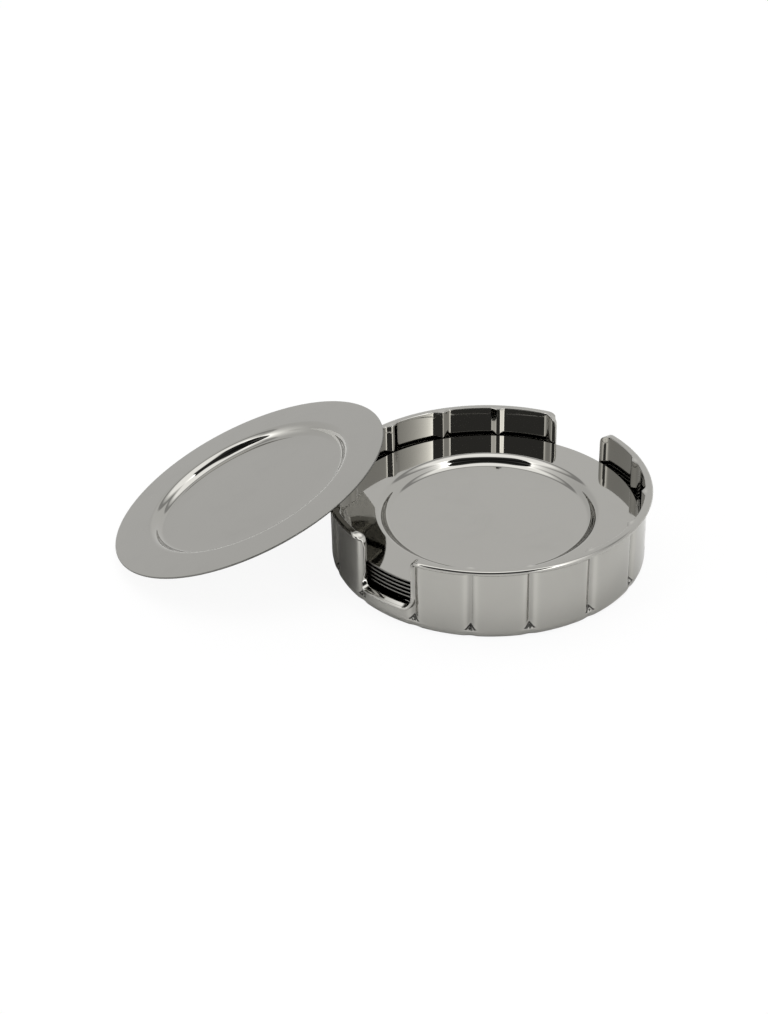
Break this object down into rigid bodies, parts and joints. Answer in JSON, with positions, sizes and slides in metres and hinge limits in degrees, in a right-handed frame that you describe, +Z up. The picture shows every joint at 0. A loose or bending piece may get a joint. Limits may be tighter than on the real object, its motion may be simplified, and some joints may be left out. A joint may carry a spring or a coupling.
{
  "type": "coaster set with holder",
  "caption": "Round mirror-polished metal coasters nested in a fluted open holder with finger openings, with a coaster leaning on its rim.",
  "frame": {"origin": "centre of the footprint of the whole set, on the table", "axes": "+Z up; the holder's two finger openings face -Y and +Y; the leaning coaster lies on the -X, -Y side, and +X is the longest extent"},
  "size_m": [0.1706, 0.1464, 0.0378],
  "materials": {
    "holder_metal": "mirror-polished plated sheet metal with faint polishing marks",
    "coaster_metal": "mirror-polished plated sheet metal with fine scratches on the well floor and rim"
  },
  "bodies": {
    "holder": {"holder": "holder_metal"},
    "coaster_1": {"coaster_1": "coaster_metal"},
    "coaster_2": {"coaster_2": "coaster_metal"},
    "coaster_3": {"coaster_3": "coaster_metal"},
    "coaster_4": {"coaster_4": "coaster_metal"},
    "coaster_5": {"coaster_5": "coaster_metal"},
    "leaning_coaster": {"leaning_coaster": "coaster_metal"}
  },
  "joints": [
    {"name": "coaster_1_lift", "type": "slide", "parent": "holder", "child": "coaster_1", "axis": [0, 0, 1], "range_m": [0, 0.011]},
    {"name": "coaster_2_lift", "type": "slide", "parent": "coaster_1", "child": "coaster_2", "axis": [0, 0, 1], "range_m": [0, 0.011]},
    {"name": "coaster_3_lift", "type": "slide", "parent": "coaster_2", "child": "coaster_3", "axis": [0, 0, 1], "range_m": [0, 0.011]},
    {"name": "coaster_4_lift", "type": "slide", "parent": "coaster_3", "child": "coaster_4", "axis": [0, 0, 1], "range_m": [0, 0.011]},
    {"name": "coaster_5_lift", "type": "slide", "parent": "coaster_4", "child": "coaster_5", "axis": [0, 0, 1], "range_m": [0, 0.011]},
    {"name": "leaning_coaster_lift", "type": "slide", "parent": "holder", "child": "leaning_coaster", "axis": [-0.2961, -0.2272, 0.9277], "range_m": [0, 0.1]}
  ]
}
